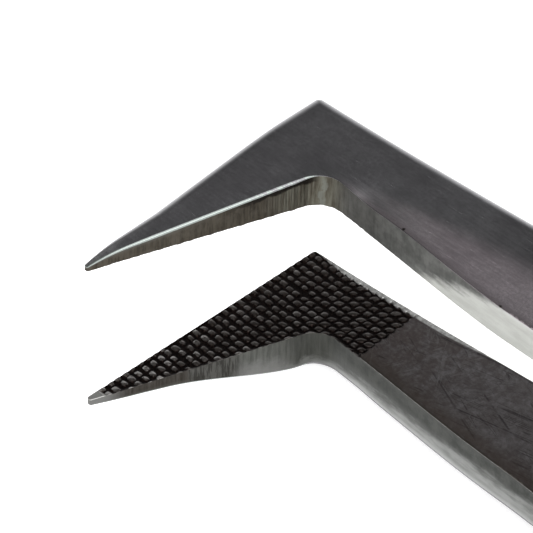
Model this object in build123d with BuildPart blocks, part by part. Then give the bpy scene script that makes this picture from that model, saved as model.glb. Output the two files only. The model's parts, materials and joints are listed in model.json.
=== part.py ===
"""Boot-shaped eyelash-extension tweezers, 125 mm long, lying on one arm.

Two arms of spring steel, each the mirror image of the other, are spot-welded together at the tail.
Each arm widens from the tail into a finger zone, narrows into a neck and ends in a boot, a tapering
toe that points sideways at about a right angle to the arm. Squeezing the finger zone bends both
arms in their thin spring zone, until the boots meet on the middle plane.

Frame, in millimetres: the origin is the centre of the lower arm's flat finger face, on which the
tweezers rest. +X runs to the welded tail, the boots point to -Y, and the arms open along Z.
A station is a distance along X from the heel, the outer corner where an arm turns into its boot.
"""

import os

from build123d import *

# Stations.
TOE_LEAD = 1.0  # how far the toe stands ahead of the heel
NECK_END = 15.0
FINGER_START = 44.0
FINGER_END = 66.0
SPRING = 101.0
HINGE = 105.0
WELD_START = 110.0
TAIL_END = 124.0
ORIGIN = (FINGER_START + FINGER_END) / 2

# Plan, seen along Z: half widths about the X axis, and the boot.
HEEL_HALF = 1.70
NECK_HALF = 2.52
FINGER_HALF = 4.80
TAIL_HALF = 3.00
HEEL_SPREAD = 0.025  # slope of the back edge at the heel
CROTCH_SPREAD = 0.045  # slope of the front edge at the crotch
NECK_SPREAD_BACK = 0.070  # slope of the back edge at the neck's end
NECK_SPREAD_FRONT = 0.020  # slope of the front edge at the neck's end
TAIL_SPREAD = 0.015  # slope of both edges at the tail's end
CROTCH_STATION = 3.58
CROTCH_HALF = 1.70
BOOT_LENGTH = 13.70  # from the heel to the toe's end, along Y
TOE_WIDTH = 0.24
TOE_ROUND = 0.11
HEEL_ROUND = 0.20
CROTCH_ROUND = 1.40
TAIL_ROUND = 2.40

# Side profile: heights of an arm's inner face above the middle plane, and its thickness there.
MIDDLE = 7.00  # height of the middle plane above the rest plane
INNER_HEEL = 4.05
INNER_NECK = 3.88
INNER_FINGER = 5.30
THICK_HEEL = 1.90
THICK_NECK = 2.00
THICK_SPRING = 1.25
THICK_TAIL = 1.40
BEND_RADIUS = 60.0

# The boot's outer face slopes down to a thin toe.
TAPER_START = -2.20  # Y where the slope begins
THICK_TOE = 0.30
TAPER_REAR_STATION = 8.0  # behind the boot, where the cut stops in free air

# The grip: a square lattice of pads between two families of V grooves in the boot's inner face.
GRIP_PITCH = 0.45
GRIP_TURN = -2.0  # degrees about Z, from the arm's axis to the lattice
GRIP_REAR = 5.90  # where the grooves stop behind the heel
GRIP_FRONT = -13.20  # where they stop short of the toe, along Y from the heel
GRIP_RIM = 0.10  # plain rim along the neck's back edge
GROOVE_WIDTH = 0.22
GROOVE_DEPTH = 0.09

# Edges, hinge slit and welds.
EDGE_ROUND = 0.10
SLIT = 0.08  # the gap at each hinge, which stands in for the bending of the spring zone
NUGGET_RADIUS = 1.50
NUGGET_HEIGHT = 0.90
NUGGET_STATIONS = (116.0, 120.5)
DIMPLE_RADIUS = 1.20  # the marks that the welding electrodes left on the outer faces
DIMPLE_DEPTH = 0.08

STOCK_HALF = 20.0  # half of the stock that is cut down to the plan


def x_at(station):
    """X of a station."""
    return station - ORIGIN


# A groove's section, a V that opens through the inner face.
groove = [
    (-GROOVE_WIDTH, -GROOVE_DEPTH),
    (GROOVE_WIDTH, -GROOVE_DEPTH),
    (0, GROOVE_DEPTH),
]

# One whole arm, the upper one.
with BuildPart() as upper_whole:
    # The strip, bent to its side profile.
    with BuildSketch(Plane.XZ):
        front = -TOE_LEAD - 1
        rear = TAIL_END + 1
        rise = INNER_FINGER / (WELD_START - FINGER_END)
        spring_outer = rise * (WELD_START - SPRING) + THICK_SPRING
        with BuildLine():
            Polyline(
                (x_at(front), MIDDLE + INNER_HEEL),
                (x_at(NECK_END), MIDDLE + INNER_NECK),
                (x_at(FINGER_START), MIDDLE + INNER_FINGER),
                (x_at(FINGER_END), MIDDLE + INNER_FINGER),
                (x_at(WELD_START), MIDDLE),
                (x_at(rear), MIDDLE),
                (x_at(rear), MIDDLE + THICK_TAIL),
                (x_at(WELD_START), MIDDLE + THICK_TAIL),
                (x_at(SPRING), MIDDLE + spring_outer),
                (x_at(FINGER_END), 2 * MIDDLE),
                (x_at(FINGER_START), 2 * MIDDLE),
                (x_at(NECK_END), MIDDLE + INNER_NECK + THICK_NECK),
                (x_at(front), MIDDLE + INNER_HEEL + THICK_HEEL),
                close=True,
            )
        make_face()
        bends = vertices().filter_by_position(Axis.X, x_at(0), x_at(TAIL_END))
        fillet(bends, BEND_RADIUS)
    extrude(amount=STOCK_HALF, both=True)

    # Cut to the plan.
    toe_y = HEEL_HALF - BOOT_LENGTH
    with BuildSketch(Plane.XY):
        with BuildLine():
            Spline(
                (x_at(0), HEEL_HALF),
                (x_at(NECK_END), NECK_HALF),
                tangents=[(1, HEEL_SPREAD), (1, NECK_SPREAD_BACK)],
            )
            for side, spread in ((1, NECK_SPREAD_BACK), (-1, NECK_SPREAD_FRONT)):
                Spline(
                    (x_at(NECK_END), side * NECK_HALF),
                    (x_at(FINGER_START), side * FINGER_HALF),
                    tangents=[(1, side * spread), (1, 0)],
                )
                Line((x_at(FINGER_START), side * FINGER_HALF), (x_at(FINGER_END), side * FINGER_HALF))
                Spline(
                    (x_at(FINGER_END), side * FINGER_HALF),
                    (x_at(TAIL_END), side * TAIL_HALF),
                    tangents=[(1, 0), (1, -side * TAIL_SPREAD)],
                )
            Line((x_at(TAIL_END), TAIL_HALF), (x_at(TAIL_END), -TAIL_HALF))
            Spline(
                (x_at(CROTCH_STATION), -CROTCH_HALF),
                (x_at(NECK_END), -NECK_HALF),
                tangents=[(1, -CROTCH_SPREAD), (1, -NECK_SPREAD_FRONT)],
            )
            Polyline(
                (x_at(CROTCH_STATION), -CROTCH_HALF),
                (x_at(TOE_WIDTH - TOE_LEAD), toe_y),
                (x_at(-TOE_LEAD), toe_y),
                (x_at(0), HEEL_HALF),
            )
        make_face()
        corners = vertices()
        fillet(corners.filter_by_position(Axis.X, x_at(TAIL_END) - 1, x_at(TAIL_END) + 1), TAIL_ROUND)
        fillet(corners.filter_by_position(Axis.Y, toe_y - 1, toe_y + 1), TOE_ROUND)
        crotch = corners.filter_by_position(Axis.X, x_at(CROTCH_STATION) - 1, x_at(CROTCH_STATION) + 1)
        fillet(crotch, CROTCH_ROUND)
        fillet(corners.filter_by_position(Axis.X, x_at(0) - 0.1, x_at(0) + 0.1), HEEL_ROUND)
    extrude(amount=3 * MIDDLE, mode=Mode.INTERSECT)

    # Slope the boot's outer face.
    with BuildSketch(Plane.YZ.offset(x_at(-TOE_LEAD - 1))):
        with BuildLine():
            Polyline(
                (TAPER_START, MIDDLE + INNER_HEEL + THICK_HEEL + 0.1),
                (toe_y - 1, MIDDLE + INNER_HEEL + THICK_TOE),
                (toe_y - 1, 3 * MIDDLE),
                (TAPER_START, 3 * MIDDLE),
                close=True,
            )
        make_face()
    extrude(amount=TAPER_REAR_STATION, mode=Mode.SUBTRACT)

    # Round the rim of the outer face and of the inner face.
    for normal_sign in (1, -1):
        broad = [f for f in faces() if f.normal_at().Z * normal_sign > 0.8]
        borders = [edge for f in broad for edge in f.edges()]
        rim = [edge for edge in borders if sum(edge.is_same(other) for other in borders) == 1]
        fillet(rim, EDGE_ROUND)

    # Grooves of the grip. The lattice plane lies on the inner face, with its origin at the heel.
    fall = (INNER_HEEL - INNER_NECK) / (NECK_END - front)
    heel_inner = MIDDLE + INNER_HEEL + front * fall
    lattice = Plane((x_at(0), HEEL_HALF, heel_inner), x_dir=(1, 0, -fall), z_dir=(fall, 0, 1))
    lattice = lattice.rotated((0, 0, GRIP_TURN))
    across = Plane(lattice.origin, x_dir=lattice.y_dir, z_dir=lattice.x_dir)
    along = Plane(lattice.origin, x_dir=lattice.x_dir, z_dir=-lattice.y_dir)
    with BuildSketch(across.offset(-TOE_LEAD - 1)):
        for row in range(1, int(-GRIP_FRONT / GRIP_PITCH) + 1):
            with Locations((-row * GRIP_PITCH, 0)):
                Polygon(*groove, align=None)
    extrude(amount=GRIP_REAR + TOE_LEAD + 1, mode=Mode.SUBTRACT)
    with BuildSketch(along.offset(GRIP_RIM)):
        for column in range(-2, int(GRIP_REAR / GRIP_PITCH) + 1):
            with Locations((column * GRIP_PITCH + GRIP_PITCH / 2, 0)):
                Polygon(*groove, align=None)
    extrude(amount=-GRIP_FRONT - GRIP_RIM, mode=Mode.SUBTRACT)

    # Half of each weld nugget lies in this arm, under the mark of its electrode.
    for station in NUGGET_STATIONS:
        with Locations((x_at(station), 0, MIDDLE)):
            Cylinder(NUGGET_RADIUS, NUGGET_HEIGHT, mode=Mode.SUBTRACT)
        with Locations((x_at(station), 0, MIDDLE + THICK_TAIL)):
            Cylinder(DIMPLE_RADIUS, 2 * DIMPLE_DEPTH, mode=Mode.SUBTRACT)

with BuildPart() as lower_whole:
    mirror(upper_whole.part, about=Plane.XY.offset(MIDDLE))


def cut_at_hinge(whole, name, slit_side, keep):
    """The part of a whole arm on one side of its hinge slit."""
    with BuildPart() as piece:
        add(whole.part)
        split(bisect_by=Plane.YZ.offset(x_at(HINGE) + slit_side * SLIT / 2), keep=keep)
    piece.part.label = name
    return piece


upper_arm = cut_at_hinge(upper_whole, "upper_arm", -1, Keep.BOTTOM)
upper_arm_tail = cut_at_hinge(upper_whole, "upper_arm_tail", 1, Keep.TOP)
lower_arm = cut_at_hinge(lower_whole, "lower_arm", -1, Keep.BOTTOM)
lower_arm_tail = cut_at_hinge(lower_whole, "lower_arm_tail", 1, Keep.TOP)

nuggets = []
for number, station in enumerate(NUGGET_STATIONS, start=1):
    with BuildPart() as nugget:
        with Locations((x_at(station), 0, MIDDLE)):
            Cylinder(NUGGET_RADIUS, NUGGET_HEIGHT)
    nugget.part.label = f"weld_nugget_{number}"
    nuggets.append(nugget)

os.makedirs("parts", exist_ok=True)
for piece in [upper_arm, upper_arm_tail, lower_arm, lower_arm_tail, *nuggets]:
    export_step(piece.part, f"parts/{piece.part.label}.step")
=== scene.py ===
"""Boot-shaped eyelash-extension tweezers, lying on one arm on a pale floor.

Each arm is one closed mesh that replaces its two CAD nodes. The arm is drawn in millimetres: a
station is a distance along X from the heel, and a height is measured from the middle plane between
the arms, so the lower arm is the upper one with its heights turned over.
"""

import json
import math
from types import SimpleNamespace

import bpy
import numpy as np
from mathutils import Matrix, Vector
from mathutils.geometry import delaunay_2d_cdt
from mathutils.kdtree import KDTree


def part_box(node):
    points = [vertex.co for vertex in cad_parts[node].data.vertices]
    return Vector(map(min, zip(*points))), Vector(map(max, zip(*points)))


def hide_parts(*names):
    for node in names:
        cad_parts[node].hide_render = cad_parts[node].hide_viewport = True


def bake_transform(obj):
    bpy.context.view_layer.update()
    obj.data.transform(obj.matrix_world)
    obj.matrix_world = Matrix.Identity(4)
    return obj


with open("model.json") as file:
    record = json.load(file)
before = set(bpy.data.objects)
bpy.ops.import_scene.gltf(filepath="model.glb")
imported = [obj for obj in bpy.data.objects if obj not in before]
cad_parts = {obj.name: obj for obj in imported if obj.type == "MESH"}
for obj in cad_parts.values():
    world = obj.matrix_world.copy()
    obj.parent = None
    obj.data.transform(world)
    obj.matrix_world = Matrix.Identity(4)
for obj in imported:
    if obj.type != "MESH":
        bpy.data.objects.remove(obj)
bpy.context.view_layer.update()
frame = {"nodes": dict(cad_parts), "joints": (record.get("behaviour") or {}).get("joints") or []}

MM = 0.001

# Stations and half widths of the plan, as in the CAD model.
TOE_LEAD = 1.0
NECK_END = 15.0
FINGER_START = 44.0
FINGER_END = 66.0
SPRING = 101.0
HANDLE = (18, 34)  # stations over which the neck's edges turn into the handle's
WELD_START = 110.0
TAIL_END = 124.0
HEEL_HALF = 1.70
NECK_HALF = 2.52
FINGER_HALF = 4.80
TAIL_HALF = 3.00
HEEL_SPREAD = 0.025
CROTCH_SPREAD = 0.045
NECK_SPREAD_BACK = 0.070
NECK_SPREAD_FRONT = 0.020
TAIL_SPREAD = 0.015
CROTCH_STATION = 3.58
CROTCH_HALF = 1.70
BOOT_LENGTH = 13.70
TOE_WIDTH = 0.24
TOE_ROUND = 0.11
CROTCH_ROUND = 1.40
TAIL_ROUND = 2.40
TOE_Y = HEEL_HALF - BOOT_LENGTH

# Heights of the inner face above the middle plane, and thicknesses.
INNER_HEEL = 4.05
INNER_NECK = 3.88
INNER_FINGER = 5.30
OUTER_FINGER = 7.00
THICK_HEEL = 1.90
THICK_NECK = 2.00
THICK_SPRING = 1.25
THICK_TAIL = 1.40
BEND_RADIUS = 60.0
TAPER = (7.5, 5.5)  # stations over which the outer face turns into the boot's slope
TAPER_BLEND = 0.12
TOE_DROP_LENGTH = 2.0

# What hand grinding made different on each arm: thicknesses, rim roundings and facet slope.
UPPER = SimpleNamespace(
    side=1,
    seed=3,
    heel_round=0.45,
    toe_thickness=0.56,
    toe_slope=0.128,
    toe_drop=0.30,
    swell=0.0,
    neck_extra=0.0,
    back_round=0.62,
    boot_round=0.11,
    neck_round=0.012,
    facet=0.09,
)
LOWER = SimpleNamespace(
    side=-1,
    seed=8,
    heel_round=0.12,
    toe_thickness=0.41,
    toe_slope=0.105,
    toe_drop=0.06,
    swell=0.80,
    neck_extra=0.36,
    back_round=0.40,
    boot_round=0.10,
    neck_round=0.30,
    facet=0.0,
)
SWELL = (-8.6, -2.6)  # Y where the lower boot's thickness starts and stops growing faster
NECK_EXTRA = (12.0, 30.0)  # stations over which the lower neck's extra thickness fades out
HANDLE_ROUND = 0.35  # rim radii of the handle's outer face, and of the inner face
INNER_ROUND = 0.018
HANDLE_INNER_ROUND = 0.158
TOE_RIM_FRONT = (0.03, 0.03)  # the outer rim's radius at the toe, and its growth away from it
TOE_RIM_BACK = (0.10, 0.13)
CROTCH_RIM = (2.95, 3.6)  # stations over which the front rim turns from the boot's into the neck's
FRONT_NORMAL = (-0.5, 0.86)  # into the steel from the boot's and the neck's front edges
FRONT_COSINES = (-0.3, 0.4)  # to that normal, for an edge that is fully a back one or a front one

# The facet along the neck's front edge starts at these Y, at these stations. Its slope and its paler
# colour, partly painted reflection of its tilt, come in and go out over the stations in the pairs.
FACET_STATIONS = (3.0, 7.0, 10.0, 13.0, 16.0, 30.0)
FACET_EDGE = (-1.45, -0.85, -0.42, 0.06, 0.34, 1.10)
FACET_LEAD = 0.3  # how far behind that line the slope begins
FACET_FOLD = 0.6  # and over what distance it bends into the flat face
FACET_SLOPE_START = (3, 8)
FACET_SLOPE_END = (24, 36)
FACET_TONE_START = (3, 8.5)
FACET_TONE_END = (20, 40)
FACET_TONE_SOFT = 0.22  # half the width of the finish's edge, beside the boot
FACET_TONE_SPREAD = 0.10  # what that gains for each mm between the next two stations
FACET_SOFTENS = (6, 18)
LOW_SPOT_STATION = 6.6  # a hollow that grinding left at the facet's start
LOW_SPOT_REACH = 1.5
LOW_SPOT_DEPTH = 1.7  # times the arm's facet slope
LOW_SPOT_SIDE = (0.5, -2)
NICKS = ((8.35, -1.96), (14.3, -2.46))  # in the upper arm's front edge
NICK_RADIUS = 0.10

# Grip lattice.
GRIP_PITCH = 0.45
GRIP_TURN = math.radians(-2.0)
GRIP_REAR = 13.66  # pitches from the heel to the end of the last groove
GROOVE_END = 0.12  # pitches over which the last grooves run out
SCALLOPS = (0.22, 0.12)  # their depth in pitches at that end, and how much it varies
GRIP_TOE_GAP = 0.62
GRIP_DEPTH = 0.085
PAD_REACH = (0.22, 0.45)  # from a pad's centre to the rim of its top and to its foot, in pitches
PAD_ACROSS = (0.80, 0.10)  # 1 / a pad's width at the boot, and what that gains near the neck
PAD_ALONG = (1.16, -0.16)
PAD_WANDER = 0.17
PAD_SKEW = 0.20  # near the neck
PAD_SKEW_CHANCE = 0.22
PAD_SIZE_CHANCE = 0.10
PAD_SHRINK = 0.02  # behind the heel
PAD_TILT = 0.05
PAD_CORNERS = 3  # the power of the pads' rounded square: 2 is a circle
NEAR_NECK = (0.5, 4)
PAD_UNEVEN = 0.030
PAD_CROWN = 0.022
SHADE_CHANCE = 0.55  # how much the pads' shades vary
PAD_PAINTED_LIGHT_SLOPE = 1.25  # and the painted light and shade within a pad, paler at one corner
SHADE_TOE = 0.35  # how much paler the pads are towards the toe
SHADE_HEEL = 0.12  # and darker towards the heel
STRIP_WIDTH = 0.24  # the plain strip along the neck's back edge
STRIP_SLOPE = 0.07
STRIP_START = (-0.2, 2.4)
STRIP_END = (7.5, 11.5)
STRIP_TEETH = (0.75, 0.55)  # how much of its width the grip leaves, and how much the teeth vary it

# Wall rows, flutes and weld dimples.
WALL_LEVELS = (0.015, 0.09, 0.25, 0.45, 0.65, 0.83, 0.95, 0.988)
FLUTE_DEPTH = 0.010
FLUTE_LENGTHS = (0.14, 0.26, 0.45, 0.83)
DIMPLE_STATIONS = (116.0, 120.5)
DIMPLE_RADIUS = 1.3
DIMPLE_FLOOR = 0.8
DIMPLE_DEPTH = 0.07

# Camera, in degrees and mm. CAMERA_RIGHT and CAMERA_UP lead from the heel to the picture's centre.
CAMERA_AZIMUTH = 42.73
CAMERA_ELEVATION = 45.43
CAMERA_ROLL = 1.0
CAMERA_DISTANCE = 207.7
CAMERA_RIGHT = -2.245
CAMERA_UP = -3.561
VIEW_WIDTH = 23.93
SENSOR_WIDTH = 36.0

# The dome's lobes: axis, the cosines where it starts and is full, and radiance.
DOME_BASE = 0.24
DOME = (
    ((0, 0, 1), 0.90, 0.985, 2.5),
    ((0, 0, -1), -0.60, -0.28, 1.0),
    ((0.77, 0.0, 0.64), 0.90, 0.97, 3.2),
    ((0.475, -0.515, 0.713), 0.85, 0.95, 2.0),
)
FLOOR_GLOW = 0.6
FLOOR_HALF = 4.0  # in metres

# Mesh spacing.
FINE = 0.036
COARSE = 0.55
FINE_END = 6.6  # the station where the spacing starts to grow, and its growth for each mm
GROWTH = 0.03
GRIP_STEP = GRIP_PITCH / 12
OUTER_TURNS = (15, 30, 45, 60, 75, 90)  # degrees of turn at the rings of the rounded rims
INNER_TURNS = (45, 90)
RING_GAP = 0.02  # from a rounded rim to the flat ring beyond it
RING_KEPT = 0.985  # a ring's point nearer the edge than this share of its inset lies in a fold
FINE_GAP = 0.03  # from a rim to the grids
PLAIN_GAP = 0.10
GRIP_GRID_START = (-3.0, -16.0)
GRIP_GRID_END = GRIP_PITCH * GRIP_REAR + 0.3
PLAIN_GRIDS = (
    ((-2, -13), (18, 5), 0.2),
    ((18, -6), (111, 6), 0.8),
    ((111, -4), (TAIL_END, 4), 0.24),
)

# Positions in the frame.
upper_low, upper_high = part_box("upper_arm")
lower_low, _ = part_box("lower_arm")
heel_x = upper_low.x / MM + TOE_LEAD
middle_z = (lower_low.z + upper_high.z) / 2 / MM


# ---------------------------------------------------------------- plan


def hermite(start, end, slope_start, slope_end, count):
    """Points of a cubic from start to end with these slopes dy/dx at its ends."""
    t = np.linspace(0, 1, count)
    span = end[0] - start[0]
    y = (
        (2 * t**3 - 3 * t**2 + 1) * start[1]
        + (t**3 - 2 * t**2 + t) * span * slope_start
        + (-2 * t**3 + 3 * t**2) * end[1]
        + (t**3 - t**2) * span * slope_end
    )
    return np.column_stack([start[0] + t * span, y])


def straight(start, end, count=400):
    """Points of a straight line."""
    t = np.linspace(0, 1, count)[:, None]
    return np.array(start) * (1 - t) + np.array(end) * t


def arc_length(points):
    """Distance along a polyline at each of its points."""
    return np.concatenate([[0], np.cumsum(np.linalg.norm(np.diff(points, axis=0), axis=1))])


def along(points, distance):
    """Points at these distances along a polyline."""
    run = arc_length(points)
    return np.column_stack([np.interp(distance, run, points[:, k]) for k in (0, 1)])


def join_round(first, second, radius):
    """Two polylines that meet at a corner, joined by an arc of that radius."""
    span = 20  # points over which the directions at the corner are taken
    before = first[-1] - first[-span]
    after = second[span - 1] - second[0]
    turn = abs(math.atan2(before[0] * after[1] - before[1] * after[0], before @ after))
    reach = radius * math.tan(turn / 2)
    a = along(first, arc_length(first)[-1] - reach)[0]
    b = along(second, reach)[0]
    keep_first = first[arc_length(first) < arc_length(first)[-1] - reach]
    keep_second = second[arc_length(second) > reach]
    handle = 4 / 3 * math.tan(turn / 4) / math.tan(turn / 2)
    a_out = a + (first[-1] - a) * handle
    b_out = b + (first[-1] - b) * handle
    t = np.linspace(0, 1, 60)[:, None]
    arc = (1 - t) ** 3 * a + 3 * t * (1 - t) ** 2 * a_out + 3 * t**2 * (1 - t) * b_out + t**3 * b
    return np.vstack([keep_first, arc, keep_second])


def edge(side, start, slope, neck_slope):
    """One long edge of the arm, from start near the boot to the tail's end."""
    neck = hermite(start, (NECK_END, side * NECK_HALF), slope, neck_slope, 400)
    shoulder = hermite(neck[-1], (FINGER_START, side * FINGER_HALF), neck_slope, 0, 500)
    finger = straight(shoulder[-1], (FINGER_END, side * FINGER_HALF))
    rear = hermite(finger[-1], (TAIL_END, side * TAIL_HALF), 0, -side * TAIL_SPREAD, 700)
    return np.vstack([neck[:-1], shoulder[:-1], finger[:-1], rear])


def plan_outline(heel_round):
    """The arm's outline, counterclockwise from the middle of the boot's outer edge."""
    heel = np.array((0.0, HEEL_HALF))
    crotch = (CROTCH_STATION, -CROTCH_HALF)
    toe_front = np.array((-TOE_LEAD, HEEL_HALF - BOOT_LENGTH))
    toe_rear = toe_front + (TOE_WIDTH, 0)
    boot_middle = (heel + toe_front) / 2
    front_edge = edge(-1, crotch, -CROTCH_SPREAD, -NECK_SPREAD_FRONT)
    back_edge = edge(1, heel, HEEL_SPREAD, NECK_SPREAD_BACK)[::-1]
    line = straight(boot_middle, toe_front)
    for stretch, radius in (
        (straight(toe_front, toe_rear), TOE_ROUND),
        (straight(toe_rear, crotch), TOE_ROUND),
        (front_edge, CROTCH_ROUND),
        (straight(front_edge[-1], back_edge[0]), TAIL_ROUND),
        (back_edge, TAIL_ROUND),
        (straight(heel, boot_middle), heel_round),
    ):
        line = join_round(line, stretch, radius)
    return resample(line[:-1])


def spacing(station):
    """Distance between outline points at a station."""
    return float(np.clip(FINE + GROWTH * (station - FINE_END), FINE, COARSE))


def resample(line):
    """The closed polyline with the spacing that each place needs."""
    closed = np.vstack([line, line[:1]])
    total = arc_length(closed)[-1]
    stops = [0.0]
    while stops[-1] < total:
        here = along(closed, stops[-1])[0]
        stops.append(stops[-1] + spacing(here[0]))
    stops = np.array(stops[:-1]) * total / stops[-1]
    return along(closed, stops)


def inward(points):
    """Unit normals of a closed counterclockwise polyline, pointing inside."""
    tangent = np.roll(points, -1, axis=0) - np.roll(points, 1, axis=0)
    tangent /= np.linalg.norm(tangent, axis=1)[:, None]
    return np.column_stack([-tangent[:, 1], tangent[:, 0]])


def from_edge(points, outline, normal):
    """Distance of each point inside the outline, below 0 outside it, and the nearest outline point."""
    tree = KDTree(len(outline))
    for i, (x, y) in enumerate(outline):
        tree.insert((x, y, 0), i)
    tree.balance()
    index = np.array([tree.find((x, y, 0))[1] for x, y in points])
    distance = np.full(len(points), np.inf)
    for start, end in ((index - 1, index), (index, (index + 1) % len(outline))):
        step = outline[end] - outline[start]
        gap = points - outline[start]
        t = np.clip((gap * step).sum(1) / (step**2).sum(1), 0, 1)
        distance = np.minimum(distance, np.linalg.norm(gap - t[:, None] * step, axis=1))
    side = np.sign(((points - outline[index]) * normal[index]).sum(1))
    return distance * side, index


# ---------------------------------------------------------------- heights


def smooth(low, high, value):
    """0 below low, 1 above high and an S curve between them."""
    t = np.clip((value - low) / (high - low), 0, 1)
    return t * t * (3 - 2 * t)


def lower_of(a, b, blend):
    """The lower of two heights, with a soft change from one to the other."""
    return (a + b - np.sqrt((a - b) ** 2 + blend**2)) / 2


def bent(corners):
    """Stations and heights of a strip's face, with each corner bent to BEND_RADIUS."""
    corners = [np.array(c, float) for c in corners]
    points = [corners[0]]
    for before, corner, after in zip(corners, corners[1:], corners[2:]):
        a = (before - corner) / np.linalg.norm(before - corner)
        b = (after - corner) / np.linalg.norm(after - corner)
        turn = math.pi - math.acos(float(np.clip(a @ b, -1, 1)))
        a_end = corner + a * BEND_RADIUS * math.tan(turn / 2)
        b_end = corner + b * BEND_RADIUS * math.tan(turn / 2)
        for t in np.linspace(0, 1, 25):
            points.append((1 - t) ** 2 * a_end + 2 * t * (1 - t) * corner + t**2 * b_end)
    points.append(corners[-1])
    return np.array(points).T


FRONT = -TOE_LEAD - 1
REAR = TAIL_END + 1
SPRING_OUTER = INNER_FINGER * (WELD_START - SPRING) / (WELD_START - FINGER_END) + THICK_SPRING
INNER_FACE = bent(
    [
        (FRONT, INNER_HEEL),
        (NECK_END, INNER_NECK),
        (FINGER_START, INNER_FINGER),
        (FINGER_END, INNER_FINGER),
        (WELD_START, 0),
        (REAR, 0),
    ]
)
OUTER_FACE = bent(
    [
        (FRONT, INNER_HEEL + THICK_HEEL),
        (NECK_END, INNER_NECK + THICK_NECK),
        (FINGER_START, OUTER_FINGER),
        (FINGER_END, OUTER_FINGER),
        (SPRING, SPRING_OUTER),
        (WELD_START, THICK_TAIL),
        (REAR, THICK_TAIL),
    ]
)


def inner_height(p):
    """Height of the inner face, without its grip."""
    return np.interp(p[:, 0], *INNER_FACE)


def boot_thickness(y, arm):
    """Thickness of the boot, which thins to the toe and drops at its very end."""
    from_toe = y - TOE_Y
    drop = arm.toe_drop * np.clip(1 - from_toe / TOE_DROP_LENGTH, 0, 1) ** 2
    return arm.toe_thickness + arm.toe_slope * from_toe + arm.swell * smooth(*SWELL, y) - drop


def outer_height(p, arm):
    """Height of the outer face before its rim is rounded."""
    x, y = p[:, 0], p[:, 1]
    flat = np.interp(x, *OUTER_FACE) + arm.neck_extra * (1 - smooth(*NECK_EXTRA, x))
    sloped = inner_height(p) + boot_thickness(y, arm)
    boot = smooth(*TAPER, x)
    height = flat * (1 - boot) + lower_of(flat, sloped, TAPER_BLEND) * boot
    fall = np.clip(np.interp(x, FACET_STATIONS, FACET_EDGE) - y + FACET_LEAD, 0, None)
    facet = arm.facet * smooth(*FACET_SLOPE_START, x) * (1 - smooth(*FACET_SLOPE_END, x))
    low_spot = np.exp(-(((x - LOW_SPOT_STATION) / LOW_SPOT_REACH) ** 2)) * smooth(*LOW_SPOT_SIDE, y)
    height -= facet * (np.hypot(fall, FACET_FOLD) - FACET_FOLD)
    height -= arm.facet * LOW_SPOT_DEPTH * low_spot
    for station in DIMPLE_STATIONS:
        from_dimple = np.hypot(x - station, y)
        height -= DIMPLE_DEPTH * (1 - smooth(DIMPLE_FLOOR, DIMPLE_RADIUS, from_dimple))
    return height


def facet_share(p):
    """Where the outer face has the paler colour of its facet, partly painted reflection of its tilt: 0
    off it and 1 on it.
    """
    x, y = p[:, 0], p[:, 1]
    softer = FACET_TONE_SPREAD * (np.clip(x, *FACET_SOFTENS) - FACET_SOFTENS[0])
    soft = FACET_TONE_SOFT + softer
    line = np.interp(x, FACET_STATIONS, FACET_EDGE)
    ends = smooth(*FACET_TONE_START, x) * (1 - smooth(*FACET_TONE_END, x))
    return smooth(-soft, soft, line - y) * ends


def frontness(normal):
    """1 on the edges towards the boots' tips and the open side of the neck, 0 on the back edges."""
    return smooth(*FRONT_COSINES, normal @ np.array(FRONT_NORMAL))


def outer_radius(p, normal, arm):
    """Radius of the outer rim beside each outline point."""
    x = p[:, 0]
    toe = np.clip(p[:, 1] - TOE_Y, 0, None)
    front = arm.boot_round + (arm.neck_round - arm.boot_round) * smooth(*CROTCH_RIM, x)
    front = np.minimum(front, TOE_RIM_FRONT[0] + TOE_RIM_FRONT[1] * toe)
    back = np.minimum(arm.back_round, TOE_RIM_BACK[0] + TOE_RIM_BACK[1] * toe)
    radius = back + (front - back) * frontness(normal)
    handle = smooth(*HANDLE, x)
    return radius * (1 - handle) + HANDLE_ROUND * handle


def inner_radius(p):
    """Radius of the inner rim beside each outline point."""
    return INNER_ROUND + (HANDLE_INNER_ROUND - INNER_ROUND) * smooth(*HANDLE, p[:, 0])


def strip_width(p, normal):
    """Width of the plain, bevelled strip along the neck's back edge, beside each outline point."""
    x = p[:, 0]
    ends = smooth(*STRIP_START, x) * (1 - smooth(*STRIP_END, x))
    return STRIP_WIDTH * ends * (1 - frontness(normal))


def lattice(p):
    """Grip coordinates of each point, in pitches, along and across the arm."""
    x, y = p[:, 0], p[:, 1] - HEEL_HALF
    along_arm = (x * math.cos(GRIP_TURN) + y * math.sin(GRIP_TURN)) / GRIP_PITCH
    across_arm = (-x * math.sin(GRIP_TURN) + y * math.cos(GRIP_TURN)) / GRIP_PITCH
    return along_arm, across_arm


def hashed(i, j, seed):
    """A repeatable number from 0 to 1 for each pair of whole numbers."""
    value = np.sin(i * 127.1 + j * 311.7 + seed * 74.7) * 43758.5453
    return value - np.floor(value)


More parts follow.
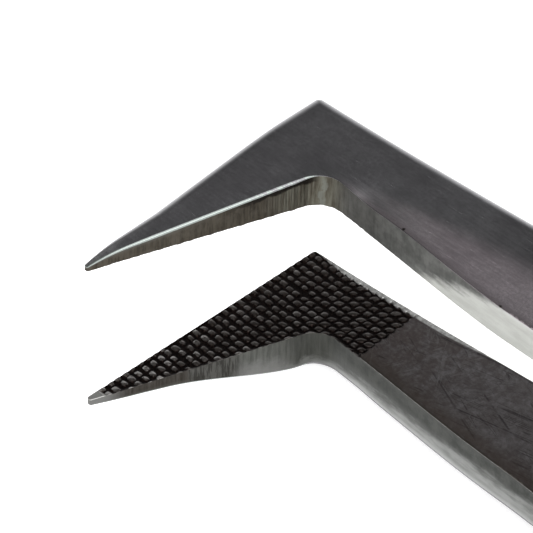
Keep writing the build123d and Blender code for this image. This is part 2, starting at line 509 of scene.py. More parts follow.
def grip(p, distance, strip, seed):
    """The grip's depth in mm, and each point's pad shade (random tone and painted light), groove and
    share of the grip.
    """
    a, b = lattice(p)
    a += 0.5
    pad_a, pad_b = np.floor(a), np.floor(b)

    def chance(number):
        return hashed(pad_a, pad_b, seed + number) - 0.5

    # Each pad is a rounded square, a little off its place, and near the neck drawn out crosswise.
    u = a - pad_a - 0.5 + PAD_WANDER * chance(1)
    v = b - pad_b - 0.5 + PAD_WANDER * chance(2)
    near_neck = smooth(*NEAR_NECK, p[:, 0])
    skew = PAD_SKEW * near_neck + PAD_SKEW_CHANCE * chance(3)
    across = (PAD_ACROSS[0] + PAD_ACROSS[1] * near_neck) * u - skew * v
    along = (PAD_ALONG[0] + PAD_ALONG[1] * near_neck) * v - skew * u
    reach = (np.abs(across) ** PAD_CORNERS + np.abs(along) ** PAD_CORNERS) ** (1 / PAD_CORNERS)
    reach += PAD_SIZE_CHANCE * chance(4) + PAD_SHRINK * smooth(-0.5, 2, p[:, 0])
    top = (1 - smooth(*PAD_REACH, reach)) * (a - 0.5 < GRIP_REAR - GROOVE_END)
    lift = PAD_UNEVEN * (chance(5) + 0.5) + PAD_CROWN * (reach / 0.3) ** 2
    lift += PAD_TILT * (across * chance(6) + along * chance(7))
    # A pad's shade: a random tone, and painted light that makes it paler at one corner and darker at
    # the other.
    shade = 0.5 + SHADE_CHANCE * chance(8) + PAD_PAINTED_LIGHT_SLOPE * (v - u)
    shade += SHADE_TOE * smooth(-5, -11, p[:, 1]) - SHADE_HEEL * smooth(-6, -1, p[:, 1])

    # The grip ends in scallops round its last pads, and in teeth along the strip.
    rear = GRIP_REAR - SCALLOPS[0] * (2 * v) ** 2 + SCALLOPS[1] * chance(9)
    share = smooth(GRIP_TOE_GAP, GRIP_TOE_GAP + 0.2, p[:, 1] - TOE_Y)
    teeth = strip * (STRIP_TEETH[0] + STRIP_TEETH[1] * (a - pad_a))
    share *= smooth(teeth - 0.03, teeth + 0.02, distance)
    cut = share * smooth(rear, rear - GROOVE_END, a - 0.5)
    fade = 0.5 + 0.5 * smooth(0, 0.12, distance)
    depth = (GRIP_DEPTH * (1 - top) + top * lift) * cut * fade
    share *= smooth(rear + 0.12, rear + 0.04, a - 0.5)
    return depth, np.clip(shade, 0, 1), 1 - top, share


# ---------------------------------------------------------------- arm mesh


def ring_points(outline, normal, radius, turns):
    """Points on the rounded rim, a ring for each turn of its normal and one beyond, without folds."""
    rings = []
    insets = [radius * (1 - math.cos(turn)) for turn in turns]
    for inset in [*insets, radius + RING_GAP]:
        ring = outline + normal * inset[:, None]
        distance, _ = from_edge(ring, outline, normal)
        rings.append(ring[distance > RING_KEPT * inset])
    return np.vstack(rings)


def grid_points(low, high, step):
    """A square grid of points over a box in the plan."""
    xs = np.arange(low[0], high[0], step)
    ys = np.arange(low[1], high[1], step)
    return np.stack(np.meshgrid(xs, ys), axis=-1).reshape(-1, 2)


def lattice_points(step):
    """A square grid over the grip, in line with its lattice."""
    grid = grid_points(GRIP_GRID_START, (GRIP_GRID_END, 0.6), step)
    c, s = math.cos(GRIP_TURN), math.sin(GRIP_TURN)
    turned = np.array([[c, -s], [s, c]])
    return grid @ turned.T + (0, HEEL_HALF)


def fill(outline, points):
    """Triangles over the outline through these points: coordinates, triangles, outline indices."""
    count = len(outline)
    verts = [Vector(p) for p in np.vstack([outline, points])]
    out, _, faces, origins, _, _ = delaunay_2d_cdt(verts, [], [list(range(count))], 1, 1e-7)
    place = {old: new for new, olds in enumerate(origins) for old in olds}
    triangles = []
    for face in faces:
        for k in range(1, len(face) - 1):
            triangles.append((face[0], face[k], face[k + 1]))
    border = np.array([place[i] for i in range(count)])
    return np.array([tuple(v) for v in out]), np.array(triangles), border


def kept(points, outline, normal, radius, gap):
    """The points that lie inside the outline and off its rounded rim."""
    distance, index = from_edge(points, outline, normal)
    return points[distance > radius[index] + gap]


def body_grid(outline, normal, radius, start):
    """Interior points of a plain face: close together at the boot and the tail, wider between them."""
    points = np.vstack([grid_points(*grid) for grid in PLAIN_GRIDS])
    return kept(points[points[:, 0] > start], outline, normal, radius, PLAIN_GAP)


def rounded(distance, radius):
    """Drop of a rounded rim at a distance from the edge."""
    left = np.clip(radius - distance, 0, radius)
    return radius - np.sqrt(np.maximum(radius**2 - left**2, 0))


def outer_face(outline, normal, arm):
    """Coordinates, triangles, edge vertices, distances and nearest points of an arm's outer face."""
    radius = outer_radius(outline, normal, arm)
    rim = ring_points(outline, normal, radius, np.radians(OUTER_TURNS))
    plane, triangles, border = fill(outline, np.vstack([rim, body_grid(outline, normal, radius, -2)]))
    distance, index = from_edge(plane, outline, normal)
    distance[border] = 0
    height = outer_height(plane, arm) - rounded(distance, radius[index])
    return np.column_stack([plane, height]), triangles, border, distance, index


def inner_face(outline, normal, arm):
    """The same for its inner face, with the grip in its boot, and the grip's attribute."""
    radius = inner_radius(outline)
    width = strip_width(outline, normal)
    rim = ring_points(outline, normal, radius, np.radians(INNER_TURNS))
    for share_of_width in (0.5, 1):
        line = outline + normal * (width * share_of_width)[:, None]
        rim = np.vstack([rim, kept(line, outline, normal, radius, FINE_GAP)])
    fine = kept(lattice_points(GRIP_STEP), outline, normal, radius, FINE_GAP)
    plain = body_grid(outline, normal, radius, GRIP_GRID_END + 0.05)
    plane, triangles, border = fill(outline, np.vstack([rim, plain, fine]))
    distance, index = from_edge(plane, outline, normal)
    distance[border] = 0
    strip = width[index]
    depth, shade, groove, share = grip(plane, distance, strip, arm.seed)
    bevel = STRIP_SLOPE * np.clip(strip - distance, 0, None)
    height = inner_height(plane) + rounded(distance, radius[index]) + bevel + depth
    grip_values = np.column_stack([shade, groove, share])
    return np.column_stack([plane, height]), triangles, border, distance, index, grip_values


def flutes(run, outline, arm):
    """Depth in mm of the flutes that grinding left in the wall, at each outline point."""
    rng = np.random.default_rng(arm.seed)
    depth = np.zeros(len(run))
    for length in FLUTE_LENGTHS:
        phase = rng.uniform(0, 2 * math.pi, 3)
        wander = 2.2 * np.sin(run / (2.7 * length) + phase[1])
        wave = np.sin(2 * math.pi * run / length + phase[0] + wander)
        depth += np.clip(wave, 0, 1) ** 2 * (0.6 + 0.4 * np.sin(run / 1.9 + phase[2]))
    boot = 1 - 0.85 * smooth(3.6, 6, outline[:, 0])
    return FLUTE_DEPTH * depth * boot


def arm_mesh(name, arm):
    """One whole arm as a closed mesh."""
    outline = plan_outline(arm.heel_round)
    normal = inward(outline)
    run = arc_length(outline)
    outer, outer_faces, outer_edge, outer_rim, outer_near = outer_face(outline, normal, arm)
    inner, inner_faces, inner_edge, inner_rim, inner_near, gripped = inner_face(outline, normal, arm)

    # The wall between the two faces, in rows from the outer edge to the inner one.
    flute = flutes(run, outline, arm)
    rows = [outer_edge]
    coords = [outer, inner]
    levels = [np.zeros(len(outer)), np.ones(len(inner))]
    first = len(outer) + len(inner)
    for level in WALL_LEVELS:
        row = outline + normal * (flute * math.sin(math.pi * level))[:, None]
        height = outer[outer_edge, 2] * (1 - level) + inner[inner_edge, 2] * level
        coords.append(np.column_stack([row, height]))
        levels.append(np.full(len(row), level))
        rows.append(np.arange(first, first + len(row)))
        first += len(row)
    rows.append(inner_edge + len(outer))
    quads = np.vstack(
        [
            np.column_stack([low, np.roll(low, -1), np.roll(high, -1), high])
            for high, low in zip(rows, rows[1:])
        ]
    )

    coords = np.vstack(coords)
    wall_count = len(coords) - len(outer) - len(inner)
    faces = [*outer_faces.tolist(), *(inner_faces[:, ::-1] + len(outer)).tolist(), *quads.tolist()]
    if arm.side < 0:
        faces = [face[::-1] for face in faces]
    placed = coords * (1, 1, arm.side) + (heel_x, 0, middle_z)
    mesh = bpy.data.meshes.new(name)
    mesh.from_pydata((placed * MM).tolist(), [], faces)
    slots = [0] * len(outer_faces) + [2] * len(inner_faces) + [1] * len(quads)
    mesh.polygons.foreach_set("material_index", slots)
    mesh.polygons.foreach_set("use_smooth", [True] * len(faces))

    # What the materials read: the place at rest, the grip, the place on the wall, and the finish.
    rims = np.concatenate([outer_rim, inner_rim, np.zeros(wall_count)])
    grips = np.vstack([np.zeros((len(outer), 3)), gripped, np.zeros((wall_count, 3))])
    near = np.concatenate([outer_near, inner_near, np.tile(np.arange(len(run)), len(WALL_LEVELS))])
    back = 1 - frontness(normal)[near]
    strip = strip_width(outline, normal)[near]
    facet = facet_share(coords) * (arm.facet > 0)
    add_attribute(mesh, "rest", coords)
    add_attribute(mesh, "grip", grips)
    add_attribute(mesh, "edge", np.column_stack([run[near], np.concatenate(levels), rims]))
    add_attribute(mesh, "finish", np.column_stack([facet, back, strip]))
    mesh.update()
    piece = bpy.data.objects.new(name, mesh)
    bpy.context.scene.collection.objects.link(piece)
    return piece


def add_attribute(mesh, name, values):
    """Three values at each vertex, for the materials to read."""
    attribute = mesh.attributes.new(name, "FLOAT_VECTOR", "POINT")
    attribute.data.foreach_set("vector", np.asarray(values, np.float32).ravel())


# ---------------------------------------------------------------- materials


DARK_STEEL = (0.160, 0.158, 0.165)

# Scratches behind the grip: angle to the arm, length, width, strength and colour.
SCRATCHES = (
    (12, 14.0, 0.020, 0.80, (0.055, 0.048, 0.048)),
    (-21, 12.0, 0.017, 0.75, (0.060, 0.053, 0.053)),
    (38, 9.0, 0.013, 0.35, (0.095, 0.088, 0.088)),
    (64, 6.0, 0.013, 0.35, (0.340, 0.330, 0.332)),
    (-55, 5.0, 0.013, 0.35, (0.320, 0.310, 0.312)),
    (2, 10.0, 0.013, 0.45, (0.090, 0.082, 0.082)),
)

# The same on the outer face, where they are faint.
OUTER_SCRATCHES = (
    (-32, 6.0, 0.013, 0.18, (0.300, 0.300, 0.310)),
    (71, 5.0, 0.012, 0.18, (0.290, 0.290, 0.300)),
    (20, 8.0, 0.013, 0.30, (0.110, 0.108, 0.112)),
)

# A wall's shinier part, partly painted reflection of the pale floor, starts where a sum reaches 0:
# level and station by weights, and a number.
UPPER_BUFF_AND_REFLECTION_LINE = (1.0, 0.206, -2.87)
LOWER_BUFF_AND_REFLECTION_LINE = (-1.0, 0.024, 0.100)

# Its two tones, and the tone along its outer edge: all partly painted reflection of the pale floor.
UPPER_BUFF_AND_REFLECTION_TONES = ((0.31, 0.315, 0.295), (0.37, 0.375, 0.355), (0.40, 0.40, 0.39))
LOWER_BUFF_AND_REFLECTION_TONES = ((0.185, 0.19, 0.183), (0.250, 0.255, 0.248), (0.34, 0.345, 0.34))


class Nodes:
    """A material's nodes, made and linked by short calls."""

    def __init__(self, name):
        self.material = bpy.data.materials.new(name)
        self.material.use_nodes = True
        self.tree = self.material.node_tree
        self.shader = self.tree.nodes["Principled BSDF"]

    def put(self, socket, value):
        """Sets a socket to a number or colour, or links it."""
        if isinstance(value, bpy.types.NodeSocket):
            self.tree.links.new(value, socket)
        elif socket.type == "RGBA" and len(value) == 3:
            socket.default_value = (*value, 1)
        else:
            socket.default_value = value

    def set(self, **values):
        """Sets the shader's sockets, with _ for a space in their names."""
        for name, value in values.items():
            self.put(self.shader.inputs[name.replace("_", " ")], value)

    def attribute(self, name):
        """What add_attribute stored on the mesh under this name."""
        node = self.tree.nodes.new("ShaderNodeAttribute")
        node.attribute_name = name
        return node.outputs["Vector"]

    def math(self, operation, a, b=0.0, clamp=False):
        """One arithmetic step on one or two values."""
        node = self.tree.nodes.new("ShaderNodeMath")
        node.operation = operation
        node.use_clamp = clamp
        self.put(node.inputs[0], a)
        self.put(node.inputs[1], b)
        return node.outputs[0]

    def times(self, a, b):
        """The product of two values."""
        return self.math("MULTIPLY", a, b)

    def plus(self, a, b):
        """The sum of two values."""
        return self.math("ADD", a, b)

    def axes(self, vector):
        """A vector's three parts."""
        node = self.tree.nodes.new("ShaderNodeSeparateXYZ")
        self.put(node.inputs[0], vector)
        return node.outputs

    def vector(self, x, y, z=0.0):
        """A vector from three values."""
        node = self.tree.nodes.new("ShaderNodeCombineXYZ")
        for socket, value in zip(node.inputs, (x, y, z)):
            self.put(socket, value)
        return node.outputs[0]

    def noise(self, vector, scale, detail=3.0, rough=0.55):
        """Noise from 0 to 1, mostly near 0.5."""
        node = self.tree.nodes.new("ShaderNodeTexNoise")
        self.put(node.inputs["Vector"], vector)
        self.put(node.inputs["Scale"], scale)
        self.put(node.inputs["Detail"], detail)
        self.put(node.inputs["Roughness"], rough)
        return node.outputs["Fac"]

    def between(self, value, low, high, out_low=0.0, out_high=1.0):
        """A soft step of the value from low to high."""
        node = self.tree.nodes.new("ShaderNodeMapRange")
        node.interpolation_type = "SMOOTHSTEP"
        for socket, number in zip(node.inputs, (value, low, high, out_low, out_high)):
            self.put(socket, number)
        return node.outputs[0]

    def mix(self, share, a, b):
        """Colour a where the share is 0, and b where it is 1."""
        node = self.tree.nodes.new("ShaderNodeMix")
        node.data_type = "RGBA"
        self.put(node.inputs["Factor"], share)
        self.put(node.inputs[6], a)
        self.put(node.inputs[7], b)
        return node.outputs[2]

    def scratches(self, x, y, angle, length, width):
        """Fine broken lines at an angle to the arm: the level lines of a drawn-out noise."""
        c, s = math.cos(math.radians(angle)), math.sin(math.radians(angle))
        along = self.plus(self.times(x, c), self.times(y, s))
        across = self.math("SUBTRACT", self.times(y, c), self.times(x, s))
        drawn_out = self.math("DIVIDE", along, length)
        drawn = self.vector(drawn_out, self.times(across, 2.5), angle)
        level = self.math("ABSOLUTE", self.math("SUBTRACT", self.noise(drawn, 1.0, 1, 0.5), 0.5))
        broken = self.noise(self.vector(along, across, angle + 5), 0.9, 2, 0.5)
        line = self.between(level, width, 0.0)
        return self.times(line, self.between(broken, 0.46, 0.58))

    def nicks(self, x, y):
        """The nicks along the neck's front edge, 1 at their middles."""
        found = 0.0
        for place in NICKS:
            away_x = self.math("POWER", self.math("SUBTRACT", x, place[0]), 2.0)
            away_y = self.math("POWER", self.math("SUBTRACT", y, place[1]), 2.0)
            away = self.math("SQRT", self.plus(away_x, away_y))
            found = self.plus(self.between(away, NICK_RADIUS, 0.4 * NICK_RADIUS), found)
        return found

    def bump(self, height, depth, under=None):
        """A bump whose height of 1 stands that many mm."""
        node = self.tree.nodes.new("ShaderNodeBump")
        node.inputs["Distance"].default_value = depth * MM
        self.put(node.inputs["Height"], height)
        if under is not None:
            self.put(node.inputs["Normal"], under)
        return node.outputs[0]


def outer_steel():
    """The satin outer face: dark, with a paler facet (partly painted reflection), a light rim (partly
    a painted highlight), brushing and small stains.
    """
    n = Nodes("outer_steel")
    rest = n.attribute("rest")
    x, y, _ = n.axes(rest)
    facet, back, _ = n.axes(n.attribute("finish"))
    _, _, rim = n.axes(n.attribute("edge"))
    brushed = n.noise(n.vector(n.times(x, 0.9), n.times(y, 9.0)), 1.0, 6, 0.6)
    streaked = n.times(n.between(brushed, 0.4, 0.6), n.between(x, 5.0, 10.0, 0.1, 0.22))
    cloud = n.noise(rest, 0.45, 6, 0.62)
    clouded = n.between(cloud, 0.35, 0.65)
    grain = n.noise(rest, 7.0, 4, 0.6)
    grainy = n.between(grain, 0.35, 0.65, 0, 0.5)
    mottled = n.between(n.noise(rest, 2.4, 5, 0.68), 0.38, 0.62, 0, 0.35)

    # The dark part, with grain, mottling, brushing and faint scratches.
    fading = n.times(clouded, n.between(x, 16, 34, 1, 0.35))
    dark = n.mix(fading, DARK_STEEL, (0.240, 0.238, 0.248))
    dark = n.mix(grainy, dark, DARK_STEEL)
    dark = n.mix(mottled, dark, (0.168, 0.165, 0.173))
    dark = n.mix(streaked, dark, (0.27, 0.27, 0.28))
    dark = n.mix(n.between(x, 11, 16, 0, 0.65), dark, (0.118, 0.113, 0.121))
    for angle, length, width, share, tone in OUTER_SCRATCHES:
        mark = n.scratches(x, y, angle, length, width)
        dark = n.mix(n.times(mark, share), dark, tone)

    # The facet: grey beside the boot, and mauve and paler behind it, partly as painted reflection of
    # its tilt.
    grey = n.mix(clouded, (0.34, 0.335, 0.338), (0.42, 0.41, 0.415))
    mauve = n.mix(clouded, (0.43, 0.375, 0.405), (0.51, 0.455, 0.485))
    pale = n.mix(n.between(x, 5.5, 11.5), grey, mauve)
    pale = n.mix(n.between(x, 6.5, 4.5), pale, (0.25, 0.245, 0.25))
    pale = n.mix(mottled, pale, (0.36, 0.325, 0.345))
    pale = n.mix(n.between(x, 12, 17, 0, 0.6), pale, (0.60, 0.55, 0.575))
    pale = n.mix(n.between(brushed, 0.4, 0.7, 0, 0.30), pale, (0.60, 0.545, 0.573))
    pale = n.mix(grainy, pale, (0.37, 0.33, 0.35))
    uneven = n.math("ADD", facet, n.between(cloud, 0.3, 0.7, -0.12, 0.12), clamp=True)
    colour = n.mix(n.times(facet, uneven), dark, pale)

    # The rims: paler at the back, partly from wear and partly a painted highlight; a painted
    # highlight along the boot's front; and dull along the neck's.
    worn_and_sheen = n.between(rim, 0.20, 0.62, 1, 0)
    worn_and_sheen = n.times(worn_and_sheen, back)
    colour = n.mix(n.times(worn_and_sheen, 0.7), colour, (0.34, 0.34, 0.35))
    facet_rim = n.times(n.between(rim, 0.45, 0.02), facet)
    colour = n.mix(facet_rim, colour, (0.31, 0.275, 0.29))
    front = n.between(back, 0.6, 0.2)
    # A painted greenish highlight along the boot's front rim, broken by dark gaps near the crotch.
    painted_rim_highlight = n.times(n.between(rim, 0.14, 0.06), front)
    painted_rim_highlight = n.times(painted_rim_highlight, n.between(x, 3.65, 3.35))
    broken = n.between(n.noise(rest, 4.0, 2, 0.5), 0.42, 0.56, 0.9, 0)
    broken = n.times(broken, n.between(y, -5.4, -4.2))
    painted_rim_highlight = n.math("SUBTRACT", painted_rim_highlight, broken, clamp=True)
    colour = n.mix(painted_rim_highlight, colour, (0.255, 0.28, 0.268))
    dull = n.times(n.between(rim, 0.06, 0.02), front)
    dull = n.times(dull, n.between(x, 3.6, 4.2, 0, 0.8))
    colour = n.mix(n.times(dull, n.between(x, 13.0, 9.0)), colour, (0.10, 0.098, 0.10))

    # Specks and nicks.
    speck = n.noise(rest, 7.0, 2, 0.5)
    colour = n.mix(n.between(speck, 0.745, 0.79, 0, 0.7), colour, (0.06, 0.05, 0.05))
    colour = n.mix(n.times(n.nicks(x, y), facet), colour, (0.03, 0.025, 0.02))
    n.set(Base_Color=colour, Metallic=1.0, Roughness=n.between(brushed, 0.2, 0.8, 0.20, 0.28))
    fine = n.bump(brushed, 0.0008)
    n.set(Normal=n.bump(grain, 0.0010, under=fine))
    return n.material


def wall_steel(name, boot, neck, buff_and_reflection_line, buff_and_reflection_tones):
    """A ground wall: boot and neck give its colours, the last two arguments its shinier part, whose
    paleness is partly painted reflection of the pale floor.
    """
    n = Nodes(name)
    rest = n.attribute("rest")
    x, y, z = n.axes(rest)
    run, level, _ = n.axes(n.attribute("edge"))
    across = n.vector(n.times(run, 4.5), n.times(z, 0.45))
    ground = n.noise(across, 1.0, 6, 0.68)
    patch = n.noise(rest, 1.6, 5, 0.62)
    grain = n.noise(rest, 9.0, 4, 0.6)
    at_boot = boot(n, x, y, level, ground, patch)
    at_neck = neck(n, x, y, level, ground, patch)
    colour = n.mix(n.between(x, 3.8, 5.2), at_boot, at_neck)

    # The shinier part, partly painted reflection of the pale floor, begins along a slanting, ragged
    # line.
    by_level, by_station, start = buff_and_reflection_line
    reach = n.plus(n.times(level, by_level), n.times(x, by_station))
    drawn = n.vector(n.times(x, 0.7), y, n.times(z, 3.2))
    streak = n.noise(drawn, 1.0, 5, 0.65)
    ragged = n.plus(n.times(ground, 0.15), n.times(streak, 1.2))
    ragged = n.between(n.plus(ragged, n.times(grain, 0.25)), 0.5, 1.1, -0.12, 0.12)
    reach = n.plus(n.plus(reach, start), ragged)
    buffed_and_reflection = n.times(n.between(reach, -0.20, 0.24), n.between(x, 3.0, 6.0))
    low, high, edge_reflection_tone = buff_and_reflection_tones
    bright = n.mix(n.between(streak, 0.35, 0.65), low, high)
    bright = n.mix(n.between(grain, 0.3, 0.7, 0, 0.25), bright, low)
    bright = n.mix(n.between(level, 0.16, 0.0), bright, edge_reflection_tone)
    colour = n.mix(buffed_and_reflection, colour, bright)
    n.set(Base_Color=colour, Metallic=1.0, Roughness=n.between(buffed_and_reflection, 0, 1, 0.42, 0.30))
    fine = n.bump(grain, 0.002)
    n.set(Normal=n.bump(ground, 0.005, under=fine))
    return n.material


def upper_boot(n, x, y, level, ground, patch):
    """Brown, darker towards the inner edge, with a painted shadow under the rim and a pale stripe in
    the crotch; its dark brown is partly painted reflection of dark, brownish surroundings.
    """
    colour = n.mix(n.between(ground, 0.34, 0.66), (0.026, 0.0220, 0.0165), (0.060, 0.052, 0.040))
    colour = n.mix(n.between(patch, 0.42, 0.66, 0, 0.6), colour, (0.070, 0.062, 0.050))
    top = n.times(n.between(level, 0.3, 0.0), n.between(y, -10.0, -5.0, 0.7, 0.0))
    colour = n.mix(top, colour, (0.082, 0.078, 0.070))
    ragged = n.plus(level, n.between(patch, 0.35, 0.65, -0.05, 0.05))
    shadow = n.times(n.between(ragged, 0.20, 0.12), n.between(y, -6.4, -4.6))
    shadow = n.times(shadow, n.between(x, 3.6, 3.3))
    crotch = n.mix(n.between(ground, 0.35, 0.65), (0.050, 0.044, 0.033), (0.112, 0.109, 0.088))
    colour = n.mix(n.between(y, -4.6, -3.2), colour, crotch)
    colour = n.mix(shadow, colour, (0.010, 0.008, 0.006))
    line = n.plus(x, n.times(level, 0.10))
    line = n.plus(line, n.between(patch, 0.3, 0.7, -0.10, 0.10))
    stripe = n.times(n.between(line, 3.62, 3.70), n.between(line, 3.90, 3.78))
    stripe = n.times(stripe, n.between(level, 0.0, 0.2, 0.2, 0.65))
    return n.mix(stripe, colour, (0.13, 0.135, 0.12))


def upper_neck(n, x, y, level, ground, patch):
    """Dull grey, a little paler away from the boot."""
    mixed = n.plus(n.times(ground, 0.3), n.times(patch, 0.7))
    mixed = n.between(mixed, 0.36, 0.64)
    dull = n.mix(mixed, (0.030, 0.029, 0.026), (0.058, 0.057, 0.052))
    pale = n.mix(mixed, (0.052, 0.053, 0.049), (0.102, 0.103, 0.097))
    colour = n.mix(n.between(x, 5.2, 8.5), dull, pale)
    nick = n.times(n.nicks(x, y), n.between(level, 0.06, 0.03))
    return n.mix(nick, colour, (0.02, 0.016, 0.012))


def lower_boot(n, x, y, level, ground, patch):
    """Brown at the toe, then dark and strongly striated, then pale grey up to the crotch."""
    toe = n.mix(n.between(ground, 0.35, 0.65), (0.020, 0.017, 0.013), (0.044, 0.039, 0.034))
    toe = n.mix(n.between(level, 0.35, 0.05, 0, 0.6), toe, (0.056, 0.055, 0.048))
    toe = n.mix(n.between(y, -10.2, -11.6), toe, (0.135, 0.135, 0.13))
    lined = n.mix(n.between(ground, 0.44, 0.56), (0.024, 0.023, 0.020), (0.064, 0.063, 0.058))
    pale = n.mix(n.between(ground, 0.36, 0.64), (0.056, 0.058, 0.052), (0.092, 0.094, 0.086))
    # Paler towards the outer edge beside the floor: partly painted reflection of the pale floor.
    bands = n.plus(level, n.between(patch, 0.3, 0.7, -0.12, 0.12))
    pale = n.mix(n.between(bands, 0.75, 0.05, 0, 0.8), pale, (0.165, 0.165, 0.160))
    crotch = n.mix(n.between(ground, 0.3, 0.7), (0.034, 0.035, 0.031), (0.056, 0.057, 0.051))
    crotch = n.mix(n.between(bands, 0.28, 0.02, 0, 0.8), crotch, (0.120, 0.122, 0.115))
    colour = n.mix(n.between(y, -7.75, -7.55), toe, lined)
    colour = n.mix(n.between(y, -5.9, -4.9), colour, pale)
    return n.mix(n.between(y, -4.0, -2.6), colour, crotch)


def lower_neck(n, x, y, level, ground, patch):
    """Dull grey with a paler line under its inner edge."""
    mixed = n.plus(n.times(ground, 0.25), n.times(patch, 0.75))
    mixed = n.between(mixed, 0.36, 0.64)
    dull = n.mix(mixed, (0.022, 0.024, 0.021), (0.048, 0.050, 0.045))
    far = n.mix(mixed, (0.028, 0.030, 0.027), (0.062, 0.064, 0.059))
    colour = n.mix(n.between(x, 6.0, 15.0), dull, far)
    colour = n.mix(n.between(level, 0.70, 0.40, 0, 0.6), colour, (0.085, 0.087, 0.082))
    colour = n.mix(n.between(level, 0.91, 0.975, 0, 0.7), colour, (0.054, 0.055, 0.052))
    # Darkest just under the inner edge: painted shade that dims the rim's reflection on the wall's top
    # row.
    return n.mix(n.between(level, 0.975, 0.99, 0, 0.7), colour, (0.026, 0.026, 0.024))


def inner_steel():
    """The inner face: black grooves, pads with wear and painted light, and scratched, faintly rusty
    steel behind the grip, with a painted highlight on its strip.
    """
    n = Nodes("inner_steel")
    rest = n.attribute("rest")
    shade, groove, gripped = n.axes(n.attribute("grip"))
    _, _, rim = n.axes(n.attribute("edge"))
    _, _, strip_wide = n.axes(n.attribute("finish"))
    x, y, _ = n.axes(rest)
    grain = n.noise(rest, 12.0, 4, 0.6)

    # The grip: pads with wear, painted glints and painted light across each pad, and pitted grooves.
    pad = n.mix(shade, (0.030, 0.026, 0.024), (0.185, 0.175, 0.168))
    pad = n.mix(n.between(grain, 0.35, 0.7, 0, 0.5), pad, (0.06, 0.053, 0.050))
    pit = n.mix(n.between(grain, 0.4, 0.65), (0.0030, 0.0021, 0.0020), (0.017, 0.0110, 0.0095))
    wear = n.noise(rest, 5.5, 4, 0.65)
    pad = n.mix(n.between(wear, 0.40, 0.60, 0, 0.45), pad, (0.045, 0.034, 0.029))
    glint = n.times(n.between(shade, 0.72, 1.0), n.between(y, -3.0, -8.0, 0.3, 0.8))
    glint = n.times(glint, n.between(wear, 0.62, 0.48))
    pad = n.mix(glint, pad, (0.40, 0.39, 0.38))
    uneven = n.plus(groove, n.between(wear, 0.32, 0.68, -0.30, 0.36))
    cut = n.mix(n.between(uneven, 0.12, 0.66), pad, pit)

    # The plain steel behind it, with rust, crust and scratches.
    cloud = n.noise(rest, 1.6, 5, 0.6)
    patch = n.noise(n.vector(x, y, 7.0), 4.0, 3, 0.6)
    plain = n.mix(n.between(cloud, 0.35, 0.65), (0.208, 0.197, 0.201), (0.275, 0.264, 0.270))
    plain = n.mix(n.between(x, 9.5, 6.0, 0, 0.7), plain, (0.165, 0.144, 0.140))
    plain = n.mix(n.between(patch, 0.28, 0.72, 0, 0.6), plain, (0.140, 0.128, 0.129))
    rust = n.times(n.between(cloud, 0.60, 0.40), n.between(x, 12.0, 7.5, 0.2, 0.6))
    plain = n.mix(rust, plain, (0.150, 0.126, 0.118))
    crust = n.noise(rest, 5.0, 6, 0.75)
    crusted = n.times(n.between(crust, 0.44, 0.58), n.between(x, 8.0, 13.0, 0.50, 0.30))
    plain = n.mix(crusted, plain, (0.105, 0.088, 0.084))
    plain = n.mix(n.between(crust, 0.45, 0.35, 0, 0.3), plain, (0.290, 0.278, 0.280))
    for angle, length, width, share, tone in SCRATCHES:
        mark = n.scratches(x, y, angle, length, width)
        plain = n.mix(n.times(mark, share), plain, tone)

    # Darker along the rim, and nearly white on the plain strip and at the toe; on the strip the white
    # is a painted highlight of its bevel.
    warm = n.times(n.between(rim, 1.3, 0.2), n.between(y, 0.5, -1.5))
    plain = n.mix(n.times(warm, 0.65), plain, (0.100, 0.080, 0.067))
    plain = n.mix(n.between(rim, 0.16, 0.06, 0, 0.6), plain, (0.07, 0.065, 0.06))
    past = n.math("SUBTRACT", n.times(strip_wide, 1.15), rim)
    strip = n.times(n.between(past, -0.03, 0.04), n.between(patch, 0.35, 0.65, 0.45, 1.0))
    strip = n.times(strip, n.between(x, 0.3, 2.2, 0.4, 1.0))
    plain = n.mix(strip, plain, (0.84, 0.85, 0.83))
    toe = n.between(y, -11.1, -11.5)
    plain = n.mix(toe, plain, (0.50, 0.50, 0.48))
    n.set(Base_Color=n.mix(gripped, plain, cut), Metallic=1.0)
    n.set(Roughness=n.between(gripped, 0, 1, 0.30, 0.38))
    n.set(Normal=n.bump(grain, 0.003))
    return n.material


def weld_metal():
    """The fused steel of the nuggets, which the tails hide."""
    n = Nodes("weld_metal")
    place = n.tree.nodes.new("ShaderNodeTexCoord").outputs["Object"]
    grain = n.noise(place, 900.0, 5, 0.6)
    n.set(Base_Color=n.mix(grain, (0.30, 0.28, 0.26), (0.50, 0.48, 0.46)), Metallic=1.0)
    n.set(Roughness=n.between(grain, 0.2, 0.8, 0.4, 0.6), Normal=n.bump(grain, 0.02))
    return n.material


# ---------------------------------------------------------------- pieces


upper = arm_mesh("upper_arm_strip", UPPER)
lower = arm_mesh("lower_arm_strip", LOWER)
outer_material = outer_steel()
inner_material = inner_steel()
upper_wall = wall_steel("upper_wall_steel", upper_boot, upper_neck, UPPER_BUFF_AND_REFLECTION_LINE, UPPER_BUFF_AND_REFLECTION_TONES)
lower_wall = wall_steel("lower_wall_steel", lower_boot, lower_neck, LOWER_BUFF_AND_REFLECTION_LINE, LOWER_BUFF_AND_REFLECTION_TONES)
for strip, wall in ((upper, upper_wall), (lower, lower_wall)):
    for material in (outer_material, wall, inner_material):
        strip.data.materials.append(material)

for joint in frame["joints"]:
    strip = upper if joint["child"] == "upper_arm" else lower
    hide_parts(joint["child"], joint["child"] + "_tail")
    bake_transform(strip)

nugget_material = weld_metal()
for name in ("weld_nugget_1", "weld_nugget_2"):
    nugget = frame["nodes"][name]
    nugget.data.materials.clear()
    nugget.data.materials.append(nugget_material)


# ---------------------------------------------------------------- stage, light and camera


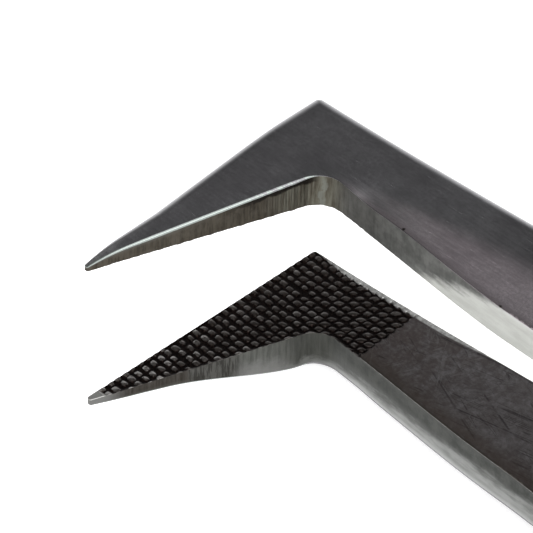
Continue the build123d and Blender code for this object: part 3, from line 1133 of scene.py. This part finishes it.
def floor():
    """A plain pale floor under the tweezers."""
    mesh = bpy.data.meshes.new("floor")
    near, far = -FLOOR_HALF, FLOOR_HALF
    corners = [(near, near, 0), (far, near, 0), (far, far, 0), (near, far, 0)]
    mesh.from_pydata(corners, [], [(0, 1, 2, 3)])
    n = Nodes("floor")
    n.set(Base_Color=(0.92, 0.92, 0.92), Roughness=0.9)
    n.set(Emission_Color=(1.0, 1.0, 1.0), Emission_Strength=FLOOR_GLOW)
    mesh.materials.append(n.material)
    plane = bpy.data.objects.new("floor", mesh)
    bpy.context.scene.collection.objects.link(plane)


def studio():
    """Soft light from a dome: bright overhead, on the right and behind the camera, dark elsewhere."""
    world = bpy.data.worlds.new("studio")
    bpy.context.scene.world = world
    world.use_nodes = True
    tree = world.node_tree
    background = tree.nodes["Background"]
    direction = tree.nodes.new("ShaderNodeTexCoord").outputs["Generated"]
    total = None
    for axis, low, high, radiance in DOME:
        dot = tree.nodes.new("ShaderNodeVectorMath")
        dot.operation = "DOT_PRODUCT"
        tree.links.new(direction, dot.inputs[0])
        dot.inputs[1].default_value = Vector(axis).normalized()
        lobe = tree.nodes.new("ShaderNodeMapRange")
        lobe.interpolation_type = "SMOOTHSTEP"
        for socket, number in zip(lobe.inputs[1:], (low, high, 0.0, radiance)):
            socket.default_value = number
        tree.links.new(dot.outputs["Value"], lobe.inputs[0])
        if total is None:
            total = lobe.outputs[0]
            continue
        add = tree.nodes.new("ShaderNodeMath")
        tree.links.new(total, add.inputs[0])
        tree.links.new(lobe.outputs[0], add.inputs[1])
        total = add.outputs[0]
    base = tree.nodes.new("ShaderNodeMath")
    base.inputs[1].default_value = DOME_BASE
    tree.links.new(total, base.inputs[0])
    tree.links.new(base.outputs[0], background.inputs["Strength"])
    background.inputs["Color"].default_value = (1.0, 1.0, 1.0, 1)


def camera():
    """A long lens over the boots, looking down along the line between the arm and its boot."""
    a, e, r = (math.radians(v) for v in (CAMERA_AZIMUTH, CAMERA_ELEVATION, CAMERA_ROLL))
    back = Vector((math.sin(a) * math.cos(e), -math.cos(a) * math.cos(e), math.sin(e)))
    right = Vector((math.cos(a), math.sin(a), 0))
    up = back.cross(right)
    turned_right = right * math.cos(r) + up * math.sin(r)
    turned_up = up * math.cos(r) - right * math.sin(r)
    heel = Vector((heel_x, HEEL_HALF, middle_z))
    target = heel + turned_right * CAMERA_RIGHT + turned_up * CAMERA_UP
    data = bpy.data.cameras.new("camera")
    data.sensor_width = SENSOR_WIDTH
    data.lens = data.sensor_width * CAMERA_DISTANCE / VIEW_WIDTH
    data.clip_start = 0.01
    view = bpy.data.objects.new("camera", data)
    view.matrix_world = Matrix((turned_right, turned_up, back)).transposed().to_4x4()
    view.location = (target + back * CAMERA_DISTANCE) * MM
    bpy.context.scene.collection.objects.link(view)
    bpy.context.scene.camera = view


floor()
studio()
camera()
bpy.context.scene.view_settings.view_transform = "Standard"
